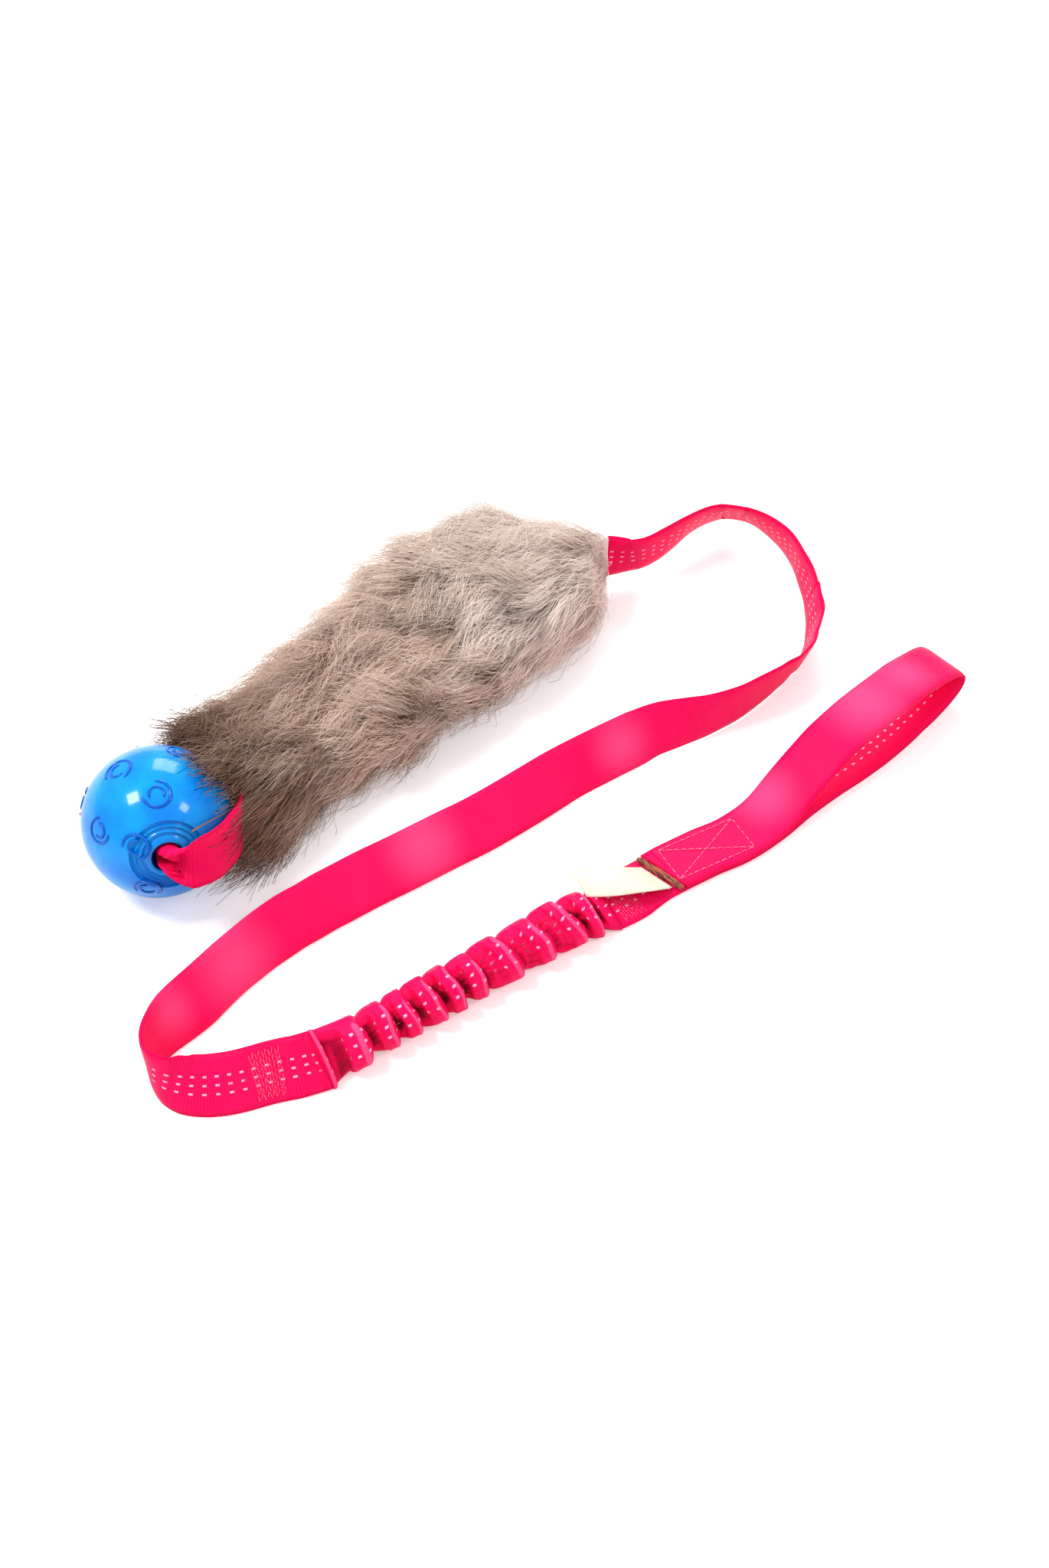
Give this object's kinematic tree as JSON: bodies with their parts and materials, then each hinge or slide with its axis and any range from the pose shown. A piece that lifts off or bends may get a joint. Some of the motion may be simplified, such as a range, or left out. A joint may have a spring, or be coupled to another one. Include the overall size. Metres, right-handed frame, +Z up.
{
  "type": "bungee tug toy",
  "caption": "Tug toy: webbing grip loop, gathered bungee and loose lead to a long-haired fur sleeve, with a hollow squeaking rubber ball on a webbing loop at its end.",
  "frame": {"origin": "on the floor under the middle of the toy as it is laid out, measured without the loose lead", "axes": "+X along the bungee towards the grip, +Z up, the fur and ball lie on the +Y side"},
  "size_m": [0.4059, 0.2188, 0.0633],
  "materials": {
    "grip_webbing": "woven tubular tape, satin",
    "box_thread": "thread",
    "scorched_webbing": "heat-sealed edge",
    "label_cloth": "woven label, bare",
    "label_thread": "thread",
    "tack_thread": "thread",
    "gathered_webbing": "gathered tubular tape",
    "elastic_rubber": "rubber strand",
    "elastic_braid": "braided cover",
    "lead_thread": "thread",
    "lead_tape": "woven tubular tape, satin",
    "core_tape": "woven tubular tape",
    "fur_coat": "long soft pile",
    "fur_skin": "backing of the pile",
    "seam_thread": "thread",
    "neck_thread": "thread",
    "mouth_thread": "thread",
    "loop_tape": "woven tubular tape, satin",
    "blue_rubber": "glossy, slightly see-through",
    "squeaker_plastic": "moulded",
    "reed_plastic": "thin disc"
  },
  "bodies": {
    "lead": {"lead_webbing": "lead_tape", "bar_tack_lead": "lead_thread"},
    "bungee": {"bungee_sleeve": "gathered_webbing", "elastic_core": "elastic_rubber", "elastic_cover": "elastic_braid"},
    "handle": {"handle_webbing": "grip_webbing", "handle_box_stitch": "box_thread", "scorched_end": "scorched_webbing", "bar_tack_handle": "tack_thread"},
    "label": {"label_tag": "label_cloth", "label_stitch": "label_thread"},
    "fur": {"fur_pile": "fur_coat", "fur_hide": "fur_skin", "core_webbing": "core_tape", "hide_seam": "seam_thread", "neck_stitching": "neck_thread", "mouth_stitching": "mouth_thread"},
    "ball_carrier": {"ball_loop": "loop_tape"},
    "ball": {"ball_shell": "blue_rubber", "squeaker_case": "squeaker_plastic", "squeaker_reed": "reed_plastic"}
  },
  "joints": [
    {"name": "bungee_lift", "type": "hinge", "parent": "lead", "child": "bungee", "pos_m": [-0.15878, -0.09695, 0.01981], "axis": [0, -1, 0], "range_deg": [0, 90]},
    {"name": "bungee_stretch", "type": "slide", "parent": "bungee", "child": "handle", "axis": [1, 0, 0], "range_m": [0, 0.13], "stiffness_N_per_m": 160, "deforming": ["bungee_sleeve", "elastic_core", "elastic_cover"]},
    {"name": "label_flap", "type": "hinge", "parent": "handle", "child": "label", "pos_m": [0.00894, -0.09486, 0.00295], "axis": [-0.2334, 0.9724, 0], "range_deg": [0, 70]},
    {"name": "neck_swing", "type": "hinge", "parent": "lead", "child": "fur", "pos_m": [0.09972, 0.06405, 0.0187], "axis": [0, 0, 1], "range_deg": [-60, 0]},
    {"name": "ball_swing", "type": "hinge", "parent": "fur", "child": "ball_carrier", "pos_m": [-0.11636, 0.04401, 0.0187], "axis": [0, 0, 1], "range_deg": [-25, 20]},
    {"name": "ball_spin", "type": "hinge", "parent": "ball_carrier", "child": "ball", "pos_m": [-0.15666, 0.03052, 0.03175], "axis": [-0.3096, -0.8992, 0.309], "continuous": true}
  ]
}
